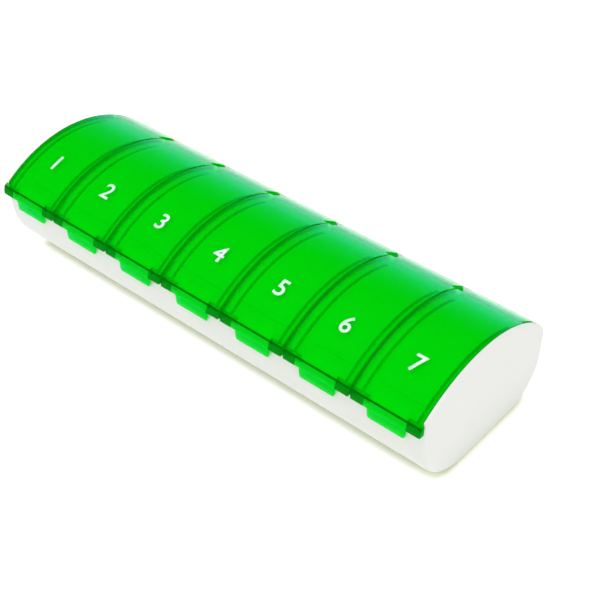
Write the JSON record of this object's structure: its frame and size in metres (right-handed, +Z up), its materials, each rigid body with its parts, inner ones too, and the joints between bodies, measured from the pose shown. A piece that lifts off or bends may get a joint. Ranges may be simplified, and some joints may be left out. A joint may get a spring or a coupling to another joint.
{
  "type": "weekly pill box",
  "caption": "Long low pill box: a rounded white tray divided into wells in a row, each well closed by its own curved translucent green hinged lid with a finger tab.",
  "frame": {"origin": "centre of the bounding box, on the rest face", "axes": "+X along the row of wells, from the first to the last; -Y towards the lid tabs, +Y towards the hinges; +Z up"},
  "size_m": [0.1372, 0.0508, 0.0318],
  "materials": {
    "tray_white": "satin",
    "lid_green": "gloss",
    "pin_steel": "bright"
  },
  "bodies": {
    "tray": {"tray": "tray_white"},
    "lid_1": {"lid_1": "lid_green", "hinge_pin_1": "pin_steel"},
    "lid_2": {"lid_2": "lid_green", "hinge_pin_2": "pin_steel"},
    "lid_3": {"lid_3": "lid_green", "hinge_pin_3": "pin_steel"},
    "lid_4": {"lid_4": "lid_green", "hinge_pin_4": "pin_steel"},
    "lid_5": {"lid_5": "lid_green", "hinge_pin_5": "pin_steel"},
    "lid_6": {"lid_6": "lid_green", "hinge_pin_6": "pin_steel"},
    "lid_7": {"lid_7": "lid_green", "hinge_pin_7": "pin_steel"}
  },
  "joints": [
    {"name": "lid_1_hinge", "type": "hinge", "parent": "tray", "child": "lid_1", "pos_m": [-0.0588, 0.01877, 0.0227], "axis": [-1, 0, 0], "range_deg": [0, 100]},
    {"name": "lid_2_hinge", "type": "hinge", "parent": "tray", "child": "lid_2", "pos_m": [-0.0392, 0.01877, 0.0227], "axis": [-1, 0, 0], "range_deg": [0, 100]},
    {"name": "lid_3_hinge", "type": "hinge", "parent": "tray", "child": "lid_3", "pos_m": [-0.0196, 0.01877, 0.0227], "axis": [-1, 0, 0], "range_deg": [0, 100]},
    {"name": "lid_4_hinge", "type": "hinge", "parent": "tray", "child": "lid_4", "pos_m": [0, 0.01877, 0.0227], "axis": [-1, 0, 0], "range_deg": [0, 100]},
    {"name": "lid_5_hinge", "type": "hinge", "parent": "tray", "child": "lid_5", "pos_m": [0.0196, 0.01877, 0.0227], "axis": [-1, 0, 0], "range_deg": [0, 100]},
    {"name": "lid_6_hinge", "type": "hinge", "parent": "tray", "child": "lid_6", "pos_m": [0.0392, 0.01877, 0.0227], "axis": [-1, 0, 0], "range_deg": [0, 100]},
    {"name": "lid_7_hinge", "type": "hinge", "parent": "tray", "child": "lid_7", "pos_m": [0.0588, 0.01877, 0.0227], "axis": [-1, 0, 0], "range_deg": [0, 100]}
  ]
}
